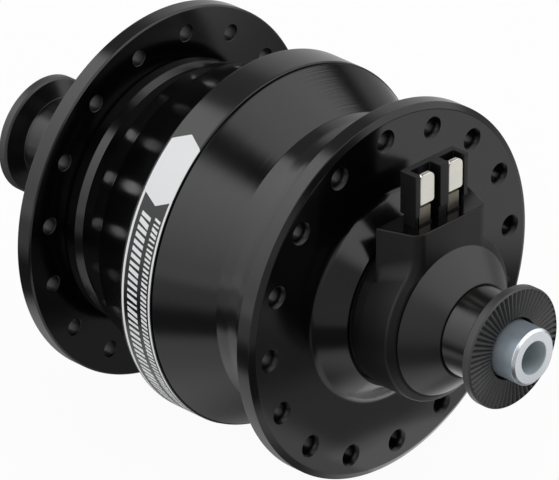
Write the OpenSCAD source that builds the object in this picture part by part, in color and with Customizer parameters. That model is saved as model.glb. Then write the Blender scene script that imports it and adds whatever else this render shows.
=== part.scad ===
// Front hub dynamo for a spoked wheel, hub axis along Y, connector side at -Y, connector upright along +Z.
// The origin is the middle of the axle.

/* [Shell] */
// Diameter of each spoke flange
flange_d = 60; // [58:0.5:70]
// Thickness of each spoke flange
flange_t = 3.2; // [2.8:0.1:4]
// Distance between the outer faces of the two flanges
flange_span = 50; // [48:0.5:52]
// Width of the bevel on the outer edge of the flange rims, measured along the radius
rim_bevel = 1; // [0.4:0.1:1.4]
// Depth of the bevel on the outer edge of the flange rims, measured along the axle
rim_bevel_l = 0.55; // [0.3:0.05:0.9]
// Bevel on the inner edge of the flange rims
rim_back_bevel = 0.25; // [0.2:0.05:0.6]
// Outer diameter of the smooth band on the barrel
barrel_d = 58.3; // [56:0.1:62]
// Width of the smooth band on the barrel
band_w = 6.4; // [5.5:0.1:8]
// Place of the middle of the smooth band along the axle
band_mid = 0.2; // [-1:0.1:1]
// Length of the turned taper beside the band
taper_l = 9; // [8:0.1:10]
// Drop in radius along the turned taper
taper_drop = 5; // [4:0.1:5.5]
// Diameter of the groove between the taper and the right flange
right_neck_d = 40.4; // [38:0.2:42]
// Length of the steep flare beside the band
flare_l = 10.1; // [9:0.1:10.5]
// Drop in radius along the steep flare
flare_drop = 5; // [4:0.1:5.5]
// Length of the gentler end of the flare
flare_end_l = 3; // [2:0.1:3.2]
// Drop in radius along the gentler end of the flare
flare_end_drop = 0.8; // [0.5:0.1:1]
// Diameter of the groove between the flare and the left flange
left_neck_d = 41; // [39:0.2:41.4]
// Diameter of the stepped ring against the left flange
ring_d = 42.7; // [42.6:0.1:46]
// Width of the stepped ring against the left flange
ring_w = 2; // [1.4:0.1:2.4]
// Diameter of the bosses where they leave the flanges
boss_d = 34.3; // [33:0.1:37]
// Length of the bosses beyond the flanges
boss_l = 3.8; // [3.4:0.1:4.4]
// Wall of a boss at its tip
boss_tip_wall = 0.55; // [0.4:0.05:1]

/* [Spoke holes] */
// Number of spoke holes in each flange
spoke_count = 16; // [12:1:18]
// Diameter of a spoke hole
spoke_hole_d = 2.6; // [2.3:0.1:2.8]
// Distance from the flange rim to the middle of a spoke hole
spoke_edge = 4; // [3.6:0.1:4.4]
// Depth of the countersink at each end of a spoke hole
spoke_sink = 0.55; // [0.3:0.05:0.8]
// Angle of the first left spoke hole from the connector
spoke_phase = 8.05; // [0:0.05:11]

/* [Axle] */
// Distance between the fork faces
fork_span = 100; // [98:0.5:110]
// Length of each axle end beyond the fork face
axle_stub = 4; // [3:0.1:6]
// Diameter of the axle ends
axle_end_d = 9; // [8.5:0.1:9.1]
// Diameter of the threads that the end nuts turn on
thread_d = 9.4; // [9.4:0.05:9.8]
// Diameter of the axle inside the housing and the left cone
axle_mid_d = 13; // [12:0.1:13.6]
// Bore for the clamping skewer
skewer_d = 5.2; // [4.8:0.1:6]
// Chamfer on the axle ends
axle_chamfer = 0.4; // [0.2:0.1:0.8]

/* [End nuts] */
// Diameter of the serrated disc
disc_d = 19.2; // [18:0.1:22]
// Thickness of the serrated disc
disc_t = 1.8; // [1.4:0.1:2.4]
// Diameter of the neck where it leaves the cap or the cone
nut_neck_d = 14.4; // [13.6:0.1:15]
// Diameter of the neck where it meets the cone behind the disc
nut_waist_d = 13.5; // [13:0.1:14]
// Length of the cone behind the disc
disc_cone_l = 1.2; // [0.6:0.1:1.8]
// Number of serrations
serrations = 60; // [40:1:64]
// Depth of a serration
serration_depth = 0.35; // [0.2:0.05:0.5]
// Width of a serration
serration_w = 0.5; // [0.3:0.05:0.55]
// Gap between the thread and the disc face
disc_bore_gap = 0.26; // [0.2:0.02:0.6]

/* [Bearings] */
// Bore of a bearing
bearing_bore = 17; // [16:0.1:17.4]
// Outer diameter of a bearing
bearing_od = 26; // [25.6:0.1:27]
// Width of a bearing
bearing_w = 5; // [4.6:0.1:5.4]
// Diameter of a bearing ball
ball_d = 2.8; // [2.5:0.05:2.9]
// Number of balls in a bearing
ball_count = 13; // [9:1:14]
// Running clearance of the balls in the raceways
ball_clearance = 0.04; // [0.02:0.01:0.08]

/* [Generator] */
// Number of magnet pairs, and of claws on each pole
pole_pairs = 14; // [10:1:16]
// Radius of the claw poles as a share of the barrel's radius
pole_share = 0.705; // [0.69:0.005:0.72]
// Thickness of the back-iron ring
iron_t = 1.2; // [1:0.1:1.4]
// Thickness of a magnet
magnet_t = 2.2; // [1.8:0.1:2.4]
// Air gap between the magnets and the claws
air_gap = 0.5; // [0.3:0.05:0.7]
// Thickness of a claw pole
claw_t = 1.2; // [1:0.1:1.5]
// Wall of the core sleeve as a share of the room between the axle and the coil's rim
core_share = 0.24; // [0.2:0.01:0.3]
// Wall of the coil bobbin
bobbin_t = 0.6; // [0.5:0.05:0.8]
// Diameter of a lead wire
lead_d = 0.9; // [0.7:0.05:1]

/* [Connector] */
// Diameter of the terminal housing
housing_d = 26.5; // [26:0.1:28]
// Height of the platform above the axle centre
platform_h = 16.8; // [16:0.1:17.5]
// Width of the block under the platform, at its front
block_w = 14.8; // [14:0.1:16]
// Width of the block under the platform, at its back
block_back_w = 19.4; // [17:0.1:20]
// Radius of the upright corners of the block
block_r = 0.9; // [0.5:0.1:1.5]
// Width of the terminal block
tower_w = 11; // [10.4:0.1:12]
// Depth of the terminal block along the axle
tower_d = 3.1; // [2.8:0.1:3.4]
// Height of the terminal block above the platform
tower_h = 8.8; // [8:0.1:9]
// Width of a slot in the terminal block
slot_w = 4; // [3.8:0.05:4.1]
// Width of the rib between the slots
rib_w = 1.5; // [1.2:0.1:1.6]
// Width of a contact
contact_w = 3.3; // [2.8:0.05:3.4]
// Thickness of a contact
contact_t = 0.8; // [0.5:0.05:0.9]

/* [Hidden] */
$fn = 96;
arc_step = 9;
eps = 0.1;

// Flanges, bosses and bearings, mirrored about the middle of the axle
flange_r = flange_d / 2;
face_y = flange_span / 2;
back_y = face_y - flange_t;
boss_tip_y = face_y + boss_l;
boss_tip_r = bearing_od / 2 + boss_tip_wall;
boss_fillet = 1.6;
boss_tip_round = 0.15;
rim_face_round = 0.4;
rim_edge_round = 0.12;
seal_t = 0.9;
seal_setback = 0.1;
bearing_out_y = boss_tip_y - seal_setback - seal_t;
bearing_mid_y = bearing_out_y - bearing_w / 2;
bearing_in_y = bearing_out_y - bearing_w;
shoulder_t = 2;
shoulder_h = 1.4;
shoulder_r = bearing_od / 2 - shoulder_h;
spoke_r = flange_r - spoke_edge;

// Barrel
barrel_r = barrel_d / 2;
band_left = band_mid + band_w / 2;
seam_y = band_mid - band_w / 2;
taper_end_y = seam_y - taper_l;
taper_end_r = barrel_r - taper_drop;
seam_step = 0.15;
edge_break = 0.25;
ridge_w = 0.6;
ridge_round = 0.15;
groove_r = 3.8;
left_wall_t = 1.9;
left_wall_y = band_left - left_wall_t;
cavity_r = 16.5;
taper_wall_l = 3.4;
cavity_end_y = taper_end_y + taper_wall_l;
ring_y = back_y - ring_w;
ring_bevel = 0.55;
ring_bevel_l = 1.2;
ring_edge_round = 0.1;
band_step = 0.65;
flare_foot_r = barrel_r - band_step;
flare_knee_r = flare_foot_r - flare_drop;
flare_knee_y = band_left + flare_l;
flare_end_r = flare_knee_r - flare_end_drop;
flare_end_y = flare_knee_y + flare_end_l;
knee_round = 1.5;
neck_round = 0.4;

// Generator, from the claw poles outwards to the band and inwards to the core
pole_r = barrel_r * pole_share;
magnet_in_r = pole_r + air_gap;
magnet_r = magnet_in_r + magnet_t;
iron_r = magnet_r + iron_t;
spigot_r = (barrel_r + iron_r) / 2;
stator_gap = 0.6;
stator_left = left_wall_y - stator_gap;
stator_right = cavity_end_y + stator_gap;
claw_tip_gap = 0.6;
pole_pitch = 180 / pole_pairs;
magnet_share = 0.95;
claw_share = 0.78;
coil_margin = 0.5;
coil_r = pole_r - claw_t - coil_margin;
bearing_r = bearing_bore / 2;
core_r = bearing_r + (coil_r - bearing_r) * core_share;

// Bearings
bearing_or = bearing_od / 2;
pitch_r = (bearing_r + bearing_or) / 2;
ball_r = ball_d / 2;
race_share = 0.29;
race_gap = ball_d * race_share;
cage_half_t = 0.4;
cage_margin = 0.25;
cage_l = ball_d + 2 * cage_margin;
cage_pocket = 0.06;
shield_t = 0.35;
shield_lip = 0.25;
shield_setback = 0.1;

// Axle and what is threaded on it
axle_r = axle_end_d / 2;
thread_r = thread_d / 2;
axle_mid_r = axle_mid_d / 2;
fork_y = fork_span / 2;
axle_half_l = fork_y + axle_stub;
skewer_r = skewer_d / 2;
housing_gap = 0.35;
axle_shoulder_y = boss_tip_y + housing_gap;
sleeve_wall = 1.7;
sleeve_r = bearing_r + sleeve_wall;
collar_wall = 1.5;
collar_r = bearing_r + collar_wall;
seal_lip_gap = 0.35;
disc_r = disc_d / 2;
nut_neck_r = nut_neck_d / 2;
nut_waist_r = nut_waist_d / 2;
disc_back_y = fork_y - disc_t;
disc_edge = 0.3;
counterbore_l = 2.4;
disc_bore_r = thread_r + disc_bore_gap;
serration_margin = 0.6;
serration_in_r = disc_bore_r + serration_margin;
nut_insert = 0.6;
nut_clear = 0.1;
nut_foot_round = 0.1;

// Terminal housing
housing_r = housing_d / 2;
housing_ring_drop = 0.35;
housing_ring_r = housing_r - housing_ring_drop;
housing_ring_w = 1.75;
housing_round = 0.2;
shoulder_round = 0.3;
housing_back_y = axle_shoulder_y;
body_back_y = housing_back_y + housing_ring_w;
body_l = 5.7;
body_front_y = body_back_y + body_l;
bevel_l = 0.6;
bevel_drop = 1.2;
cap_back_y = body_front_y + bevel_l;
cap_l = 4.8;
cap_front_y = cap_back_y + cap_l;
cap_drop = 0.2;
cap_r = housing_r - bevel_drop - cap_drop;
cap_edge = 0.3;
cap_lip = 0.35;
lip_round = 0.1;
tower_setback = 1;
tower_front_y = body_front_y - tower_setback;
tower_back_y = tower_front_y - tower_d;
tower_foot_h = 1.8;
tower_foot_inset = 0.35;
slot_back_wall = 0.8;
slot_back_y = tower_back_y + slot_back_wall;
contact_top_gap = 0.25;
contact_recess = 0.5;
contact_front_y = tower_front_y - contact_recess;
contact_back_y = contact_front_y - contact_t;
contact_side_gap = 0.05;
contact_corner_r = 0.9;
contact_foot_r = 0.4;
stem_w = 1.7;
stem_inset = 0.3;
stem_h = 3.1;
stem_foot = 1.8;
slot_x = rib_w / 2 + slot_w / 2;
contact_x = rib_w / 2 + slot_w - contact_side_gap - contact_w / 2;

// Lead wires, laid in a groove along the top of the axle
lead_r = lead_d / 2;
lead_clear = 0.15;
lead_x = lead_r + lead_clear / 2;
groove_half_w = lead_d + 2 * lead_clear;
groove_floor_z = bearing_r - lead_d - 2 * lead_clear;
lead_z = groove_floor_z + lead_clear + lead_r;
lead_coil_z = core_r + bobbin_t + lead_d;
lead_turn_y = stator_right - lead_clear - lead_r;
lead_setback = 1.2;
lead_rise_y = -body_back_y - lead_setback;
lead_top_z = platform_h - stem_foot + lead_r;
left_cone_lip_l = 1.3;
left_cone_l = 5.2;
left_cone_front_y = axle_shoulder_y + left_cone_lip_l + left_cone_l;

function unit(v) = v / norm(v);

// Points of one outline corner b, rounded to the radius rad between its neighbours a and c
function corner(a, b, c, rad) = rad <= 0 ? [b] :
    let (
        u = unit(a - b),
        v = unit(c - b),
        half = acos(u * v) / 2,
        middle = b + unit(u + v) * rad / sin(half),
        p = b + u * rad / tan(half) - middle,
        q = b + v * rad / tan(half) - middle,
        from = atan2(p.y, p.x),
        turn = (atan2(q.y, q.x) - from + 540) % 360 - 180,
        steps = max(2, ceil(abs(turn) / arc_step))
    )
    [for (i = [0 : steps]) middle + rad * [cos(from + turn * i / steps), sin(from + turn * i / steps)]];

// A closed outline of [radius, place along the axle, corner rounding] with its corners rounded
function rounded(pts) =
    [for (i = [0 : len(pts) - 1])
        let (
            n = len(pts),
            a = pts[(i + n - 1) % n],
            b = pts[i],
            c = pts[(i + 1) % n]
        )
        each corner([a.x, a.y], [b.x, b.y], [c.x, c.y], len(b) > 2 ? b[2] : 0)];

// A solid turned about the hub axis from an outline of radius against place along the axle
module turned(pts) rotate([-90, 0, 0]) rotate_extrude() polygon(rounded(pts));

// A plain ring about the hub axis
module ring(inner, outer, y0, y1) turned([[inner, y0], [outer, y0], [outer, y1], [inner, y1]]);

// A sector of a ring about the hub axis, centred on an angle
module sector(inner, outer, y0, y1, angle, width)
    rotate([-90, 0, 0]) rotate([0, 0, angle - width / 2]) rotate_extrude(angle = width)
        polygon([[inner, y0], [outer, y0], [outer, y1], [inner, y1]]);

// A round bar from one point to another with round ends
module wire(points, r) {
    for (i = [0 : len(points) - 2]) {
        run = points[i + 1] - points[i];
        translate(points[i])
            rotate([0, acos(run.z / norm(run)), atan2(run.y, run.x)])
                cylinder(r = r, h = norm(run));
    }
    for (i = [1 : len(points) - 2]) translate(points[i]) sphere(r = r);
}

// Turns what is drawn for the left end round to the right end
module right_hand() mirror([0, 1, 0]) children();

// Spoke holes of the left flange with both countersinks
module spoke_holes(phase) {
    sink_r = spoke_hole_d / 2 + spoke_sink;
    for (i = [0 : spoke_count - 1])
        rotate([0, phase + i * 360 / spoke_count, 0]) translate([0, 0, spoke_r]) rotate([-90, 0, 0]) {
            translate([0, 0, back_y - eps]) cylinder(d = spoke_hole_d, h = flange_t + 2 * eps);
            translate([0, 0, face_y - spoke_sink])
                cylinder(r1 = spoke_hole_d / 2, r2 = sink_r + eps, h = spoke_sink + eps);
            translate([0, 0, back_y - eps])
                cylinder(r1 = sink_r + eps, r2 = spoke_hole_d / 2, h = spoke_sink + eps);
        }
}

// Outline of a flange, its boss and its bearing seat, from the shoulder's bore to the flange's inner face
function flange_outline(inner_r) = [
    [inner_r, bearing_in_y - shoulder_t],
    [shoulder_r, bearing_in_y - shoulder_t],
    [shoulder_r, bearing_in_y],
    [bearing_or, bearing_in_y],
    [bearing_or, boss_tip_y],
    [boss_tip_r, boss_tip_y, boss_tip_round],
    [boss_d / 2, face_y, boss_fillet],
    [flange_r - rim_bevel, face_y, rim_face_round],
    [flange_r, face_y - rim_bevel_l, rim_edge_round],
    [flange_r, back_y + rim_back_bevel, rim_edge_round],
    [flange_r - rim_back_bevel, back_y, rim_edge_round]
];

module left_shell() color([0.03, 0.03, 0.03]) difference() {
    turned(concat(
        [[spigot_r, seam_y], [spigot_r, left_wall_y], [cavity_r, left_wall_y]],
        flange_outline(cavity_r), [
        [ring_d / 2, back_y],
        [ring_d / 2, ring_y + ring_bevel_l, ring_edge_round],
        [ring_d / 2 - ring_bevel, ring_y],
        [left_neck_d / 2, ring_y],
        [left_neck_d / 2, flare_end_y, neck_round],
        [flare_end_r, flare_end_y, ridge_round],
        [flare_knee_r, flare_knee_y, knee_round],
        [flare_foot_r, band_left],
        [barrel_r, band_left, edge_break],
        [barrel_r, seam_y, edge_break]]));
    spoke_holes(spoke_phase);
}

module right_shell() color([0.03, 0.03, 0.03]) right_hand() difference() {
    turned(concat(
        [[iron_r, -left_wall_y], [iron_r, -cavity_end_y], [cavity_r, -cavity_end_y]],
        flange_outline(cavity_r), [
        [right_neck_d / 2, back_y, groove_r],
        [right_neck_d / 2, ridge_w - taper_end_y, groove_r],
        [taper_end_r, ridge_w - taper_end_y, ridge_round],
        [taper_end_r, -taper_end_y, ridge_round],
        [barrel_r - seam_step, -seam_y, edge_break],
        [spigot_r, -seam_y],
        [spigot_r, -left_wall_y]]));
    spoke_holes(spoke_phase + 180 / spoke_count);
}

module dust_seal() color([0.08, 0.08, 0.08])
    ring(collar_r + seal_lip_gap, bearing_or, bearing_out_y, bearing_out_y + seal_t);
module left_dust_seal() dust_seal();
module right_dust_seal() right_hand() dust_seal();

module back_iron_ring() color([0.45, 0.45, 0.47]) ring(magnet_r, iron_r, cavity_end_y, left_wall_y);

// Every second magnet of the ring
module magnets(first) for (i = [0 : pole_pairs - 1])
    sector(magnet_in_r, magnet_r, cavity_end_y, left_wall_y,
        (2 * i + first) * pole_pitch, pole_pitch * magnet_share);
module magnets_north() color([0.35, 0.35, 0.38]) magnets(0);
module magnets_south() color([0.25, 0.25, 0.28]) magnets(1);

// Groove for the lead wires along the top of the axle
module lead_groove(y0, y1)
    translate([-groove_half_w, y0, groove_floor_z]) cube([2 * groove_half_w, y1 - y0, bearing_r]);

module axle() color([0.78, 0.8, 0.83]) difference() {
    turned([
        [skewer_r, -axle_half_l], [axle_r - axle_chamfer, -axle_half_l],
        [axle_r, axle_chamfer - axle_half_l], [axle_r, -fork_y], [thread_r, -fork_y],
        [thread_r, nut_insert - cap_front_y], [axle_mid_r, nut_insert - cap_front_y],
        [axle_mid_r, -axle_shoulder_y], [bearing_r, -axle_shoulder_y],
        [bearing_r, axle_shoulder_y], [axle_mid_r, axle_shoulder_y],
        [axle_mid_r, left_cone_front_y - nut_insert], [thread_r, left_cone_front_y - nut_insert],
        [thread_r, fork_y], [axle_r, fork_y], [axle_r, axle_half_l - axle_chamfer],
        [axle_r - axle_chamfer, axle_half_l], [skewer_r, axle_half_l]]);
    lead_groove(-axle_shoulder_y - eps, stator_right);
}

module core_sleeve() color([0.5, 0.5, 0.52])
    ring(bearing_r, core_r, stator_right + claw_t, stator_left - claw_t);

// One claw pole: a disc, and claws that reach across the coil
module claw_pole(disc_y0, disc_y1, tip_y, first) {
    ring(bearing_r, coil_r, disc_y0, disc_y1);
    for (i = [0 : pole_pairs - 1]) {
        angle = (2 * i + first) * pole_pitch;
        width = pole_pitch * claw_share;
        sector(coil_r - claw_t, pole_r, disc_y0, disc_y1, angle, width);
        sector(pole_r - claw_t, pole_r, min(disc_y0, tip_y), max(disc_y1, tip_y), angle, width);
    }
}
module left_claw_pole() color([0.55, 0.55, 0.57])
    claw_pole(stator_left - claw_t, stator_left, stator_right + claw_tip_gap, 0);
module right_claw_pole() color([0.55, 0.55, 0.57]) difference() {
    claw_pole(stator_right, stator_right + claw_t, stator_left - claw_tip_gap, 1);
    for (side = [-1, 1]) lead_hole(side, lead_r + lead_clear);
}

// Hole that a lead passes through on its way out of the coil
module lead_hole(side, r)
    translate([side * lead_x, stator_right - eps, lead_coil_z]) rotate([-90, 0, 0])
        cylinder(r = r, h = claw_t + bobbin_t + 2 * eps);

module coil_bobbin() color([0.85, 0.82, 0.7]) difference() {
    y0 = stator_right + claw_t;
    y1 = stator_left - claw_t;
    turned([[core_r, y0], [coil_r, y0], [coil_r, y0 + bobbin_t], [core_r + bobbin_t, y0 + bobbin_t],
        [core_r + bobbin_t, y1 - bobbin_t], [coil_r, y1 - bobbin_t], [coil_r, y1], [core_r, y1]]);
    for (side = [-1, 1]) lead_hole(side, lead_r);
}
module coil_winding() color([0.72, 0.42, 0.2])
    ring(core_r + bobbin_t, coil_r - bobbin_t,
        stator_right + claw_t + bobbin_t, stator_left - claw_t - bobbin_t);

// A lead from the coil, through the groove in the axle, up the housing to the back of its contact
module lead(side) wire([
    [side * lead_x, stator_right + claw_t + bobbin_t, lead_coil_z],
    [side * lead_x, lead_turn_y, lead_coil_z],
    [side * lead_x, lead_turn_y, lead_z],
    [side * lead_x, lead_rise_y, lead_z],
    [side * lead_x, lead_rise_y, lead_top_z],
    [stem_x(side), lead_rise_y, lead_top_z],
    [stem_x(side), -contact_back_y, lead_top_z]], lead_r);
module live_lead() color([0.6, 0.1, 0.1]) lead(-1);
module return_lead() color([0.1, 0.1, 0.1]) lead(1);

module left_spacer() color([0.7, 0.7, 0.72]) ring(bearing_r, sleeve_r, stator_left, bearing_in_y);
module right_spacer() color([0.7, 0.7, 0.72]) difference() {
    ring(bearing_r, sleeve_r, -bearing_in_y, stator_right);
    lead_groove(lead_turn_y - lead_r - lead_clear, stator_right + eps);
}
module collar() color([0.6, 0.6, 0.62]) ring(bearing_r, collar_r, bearing_out_y, axle_shoulder_y);
module left_collar() collar();
module right_collar() right_hand() collar();

// Track that the balls run in
module raceway() translate([0, bearing_mid_y, 0]) rotate([-90, 0, 0]) rotate_extrude()
    translate([pitch_r, 0]) circle(r = ball_r + ball_clearance);
module inner_race() color([0.7, 0.72, 0.75]) difference() {
    ring(bearing_r, pitch_r - race_gap, bearing_in_y, bearing_out_y);
    raceway();
}
module outer_race() color([0.7, 0.72, 0.75]) difference() {
    ring(pitch_r + race_gap, bearing_or, bearing_in_y, bearing_out_y);
    raceway();
}
// One sphere for each ball of a bearing
module ball_set(r) for (i = [0 : ball_count - 1])
    rotate([0, i * 360 / ball_count, 0]) translate([0, bearing_mid_y, pitch_r]) sphere(r = r);
module balls() color([0.8, 0.82, 0.85]) ball_set(ball_r);
module cage() color([0.75, 0.6, 0.35]) difference() {
    ring(pitch_r - cage_half_t, pitch_r + cage_half_t,
        bearing_mid_y - cage_l / 2, bearing_mid_y + cage_l / 2);
    ball_set(ball_r + cage_pocket);
}
module shields() color([0.1, 0.1, 0.1]) for (side = [-1, 1]) {
    y = bearing_mid_y + side * (bearing_w / 2 - shield_setback - shield_t / 2);
    ring(pitch_r - race_gap + shield_lip, pitch_r + race_gap, y - shield_t / 2, y + shield_t / 2);
}
module left_inner_race() inner_race();
module left_outer_race() outer_race();
module left_balls() balls();
module left_cage() cage();
module left_shields() shields();
module right_inner_race() right_hand() inner_race();
module right_outer_race() right_hand() outer_race();
module right_balls() right_hand() balls();
module right_cage() right_hand() cage();
module right_shields() right_hand() shields();

// Flat outline of the block under the platform, rounded at its upright corners
module block_outline() polygon(rounded([
    [-block_back_w / 2, -body_back_y, block_r],
    [-block_w / 2, -cap_back_y, block_r],
    [block_w / 2, -cap_back_y, block_r],
    [block_back_w / 2, -body_back_y, block_r]]));

module terminal_housing() color([0.05, 0.05, 0.05]) difference() {
    union() {
        right_hand() turned([
            [axle_mid_r, housing_back_y], [housing_ring_r, housing_back_y, housing_round],
            [housing_ring_r, body_back_y], [housing_r, body_back_y, housing_round],
            [housing_r, body_front_y, shoulder_round], [housing_r - bevel_drop, cap_back_y],
            [axle_mid_r, cap_back_y]]);
        difference() {
            linear_extrude(height = platform_h) block_outline();
            translate([0, -housing_back_y, 0]) rotate([90, 0, 0])
                cylinder(r = axle_mid_r, h = cap_back_y - housing_back_y);
        }
    }
    lead_channel();
    for (side = [-1, 1]) contact_stem(side);
}

// Room in the housing for the leads, from the axle groove up to the contacts
module lead_channel() {
    reach = lead_r + lead_clear;
    translate([-groove_half_w, lead_rise_y - reach, axle_mid_r - eps])
        cube([2 * groove_half_w, reach + eps - housing_back_y - lead_rise_y,
            lead_z + reach - axle_mid_r + eps]);
    translate([-groove_half_w, lead_rise_y - reach, lead_z])
        cube([2 * groove_half_w, 2 * reach, lead_top_z + reach - lead_z]);
    translate([stem_x(-1) - reach, -contact_back_y, lead_top_z - reach])
        cube([stem_x(1) - stem_x(-1) + 2 * reach, contact_back_y + lead_rise_y + reach, 2 * reach]);
}

module terminal_block() color([0.05, 0.05, 0.05]) difference() {
    union() {
        translate([-tower_w / 2, -tower_front_y, platform_h + tower_foot_h])
            cube([tower_w, tower_d, tower_h - tower_foot_h]);
        translate([tower_foot_inset - tower_w / 2, tower_foot_inset - tower_front_y, platform_h])
            cube([tower_w - 2 * tower_foot_inset, tower_d - 2 * tower_foot_inset, tower_foot_h + eps]);
    }
    for (side = [-1, 1])
        translate([side * slot_x - slot_w / 2, -tower_front_y - eps, platform_h - eps])
            cube([slot_w, tower_front_y - slot_back_y + eps, tower_h + 2 * eps]);
}

// Place of the middle of a contact's stem across the terminal block
function stem_x(side) = side * contact_x - contact_w / 2 + stem_inset + stem_w / 2;

// Stem that holds a contact in the housing
module contact_stem(side)
    translate([stem_x(side) - stem_w / 2, -contact_front_y, platform_h - stem_foot])
        cube([stem_w, contact_t, stem_foot + stem_h]);

module contact(side) color([0.9, 0.89, 0.86]) {
    contact_stem(side);
    translate([side * contact_x, -contact_back_y, platform_h]) rotate([90, 0, 0])
        linear_extrude(height = contact_t) polygon(rounded([
            [-contact_w / 2, stem_h], [contact_w / 2, stem_h, contact_foot_r],
            [contact_w / 2, tower_h - contact_top_gap, contact_corner_r],
            [-contact_w / 2, tower_h - contact_top_gap, contact_corner_r]]));
}
module live_contact() contact(-1);
module return_contact() contact(1);

module right_end_cap() color([0.12, 0.12, 0.12]) right_hand() turned([
    [axle_mid_r, cap_back_y], [cap_r - cap_edge, cap_back_y], [cap_r, cap_back_y + cap_edge],
    [nut_neck_r + nut_clear + cap_lip, cap_front_y, lip_round], [nut_neck_r + nut_clear, cap_front_y],
    [nut_neck_r + nut_clear, cap_front_y - nut_insert], [axle_mid_r, cap_front_y - nut_insert]]);

module left_cone() color([0.05, 0.05, 0.05]) turned([
    [axle_mid_r, axle_shoulder_y], [housing_ring_r, axle_shoulder_y, housing_round],
    [housing_ring_r, axle_shoulder_y + left_cone_lip_l, shoulder_round],
    [nut_neck_r + nut_clear + cap_lip, left_cone_front_y, lip_round],
    [nut_neck_r + nut_clear, left_cone_front_y],
    [nut_neck_r + nut_clear, left_cone_front_y - nut_insert],
    [axle_mid_r, left_cone_front_y - nut_insert]]);

// An end nut: a neck threaded on the axle, and a disc whose outer face is serrated
module end_nut(seat_y) color([0.06, 0.06, 0.06]) difference() {
    turned([
        [thread_r, seat_y], [nut_neck_r, seat_y], [nut_neck_r, seat_y + nut_insert],
        [nut_waist_r, disc_back_y - disc_cone_l, nut_foot_round],
        [disc_r - disc_edge, disc_back_y], [disc_r, disc_back_y + disc_edge],
        [disc_r, fork_y - disc_edge], [disc_r - disc_edge, fork_y],
        [disc_bore_r, fork_y], [disc_bore_r, fork_y - counterbore_l],
        [thread_r, fork_y - counterbore_l]]);
    for (i = [0 : serrations - 1])
        rotate([0, i * 360 / serrations, 0]) translate([0, fork_y, serration_in_r])
            linear_extrude(height = disc_r) polygon([
                [-serration_w / 2, eps], [-serration_w / 2, 0], [0, -serration_depth],
                [serration_w / 2, 0], [serration_w / 2, eps]]);
}
module left_end_nut() end_nut(left_cone_front_y - nut_insert);
module right_end_nut() right_hand() end_nut(cap_front_y - nut_insert);

right_shell();
left_shell();
right_dust_seal();
left_dust_seal();
back_iron_ring();
magnets_north();
magnets_south();
axle();
core_sleeve();
left_claw_pole();
right_claw_pole();
coil_bobbin();
coil_winding();
live_lead();
return_lead();
right_spacer();
left_spacer();
right_collar();
left_collar();
right_inner_race();
right_outer_race();
right_balls();
right_cage();
right_shields();
left_inner_race();
left_outer_race();
left_balls();
left_cage();
left_shields();
terminal_housing();
terminal_block();
live_contact();
return_contact();
right_end_cap();
left_cone();
right_end_nut();
left_end_nut();
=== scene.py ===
import math

import bmesh
import bpy
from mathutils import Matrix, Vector


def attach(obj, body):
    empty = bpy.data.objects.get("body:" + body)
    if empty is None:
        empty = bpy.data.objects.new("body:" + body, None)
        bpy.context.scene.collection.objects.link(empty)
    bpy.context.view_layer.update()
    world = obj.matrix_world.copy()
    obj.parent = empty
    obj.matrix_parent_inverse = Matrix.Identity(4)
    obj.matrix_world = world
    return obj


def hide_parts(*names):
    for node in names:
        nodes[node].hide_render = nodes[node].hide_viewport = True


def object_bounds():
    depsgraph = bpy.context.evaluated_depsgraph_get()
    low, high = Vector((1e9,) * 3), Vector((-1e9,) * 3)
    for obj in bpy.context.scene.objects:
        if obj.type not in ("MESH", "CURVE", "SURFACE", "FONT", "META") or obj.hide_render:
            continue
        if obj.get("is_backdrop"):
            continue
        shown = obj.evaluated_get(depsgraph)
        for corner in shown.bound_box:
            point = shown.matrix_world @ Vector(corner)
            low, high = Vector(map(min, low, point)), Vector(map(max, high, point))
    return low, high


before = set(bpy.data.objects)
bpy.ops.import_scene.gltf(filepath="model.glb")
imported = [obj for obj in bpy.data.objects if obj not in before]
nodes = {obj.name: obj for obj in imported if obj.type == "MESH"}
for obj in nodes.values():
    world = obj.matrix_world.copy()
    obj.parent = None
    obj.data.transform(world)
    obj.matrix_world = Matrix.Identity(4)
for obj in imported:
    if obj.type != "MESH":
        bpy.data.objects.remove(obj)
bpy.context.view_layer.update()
mm = 0.001
perMetre = 1000.0
print("frame loaded:", len(nodes), "solids")

# sizes shared by the turned pieces, in millimetres along and around the axle
hub = {
    "flangeRadius": 30.0,
    "flangeFace": 25.0,
    "flangeBack": 21.8,
    "bandRadius": 29.15,
    "bandLeft": 3.4,
    "bandRight": -3.0,
    "forkFace": 50.0,
    "axleEnd": 54.0,
}


# shader helpers

def addNode(tree, kind, **settings):
    node = tree.nodes.new(kind)
    for key, value in settings.items():
        setattr(node, key, value)
    return node


def feed(tree, value, socket):  # a plain number, or what another node gives
    if isinstance(value, (int, float)):
        socket.default_value = value
    else:
        tree.links.new(value, socket)


def mathNode(tree, operation, *values):
    node = addNode(tree, "ShaderNodeMath", operation=operation)
    for socket, value in zip(node.inputs, values):
        feed(tree, value, socket)
    return node.outputs[0]


def times(tree, first, second):
    return mathNode(tree, "MULTIPLY", first, second)


def plus(tree, first, second):
    return mathNode(tree, "ADD", first, second)


def minus(tree, first, second):
    return mathNode(tree, "SUBTRACT", first, second)


def vectorOf(tree, *parts):
    node = addNode(tree, "ShaderNodeCombineXYZ")
    for socket, value in zip(node.inputs, parts):
        feed(tree, value, socket)
    return node.outputs[0]


def partsOf(tree, vector):
    node = addNode(tree, "ShaderNodeSeparateXYZ")
    tree.links.new(vector, node.inputs[0])
    return node.outputs


def noiseOf(tree, spot, scale, detail):
    node = addNode(tree, "ShaderNodeTexNoise")
    feed(tree, scale, node.inputs["Scale"])
    node.inputs["Detail"].default_value = detail
    tree.links.new(spot, node.inputs["Vector"])
    return node.outputs["Fac"]


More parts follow.
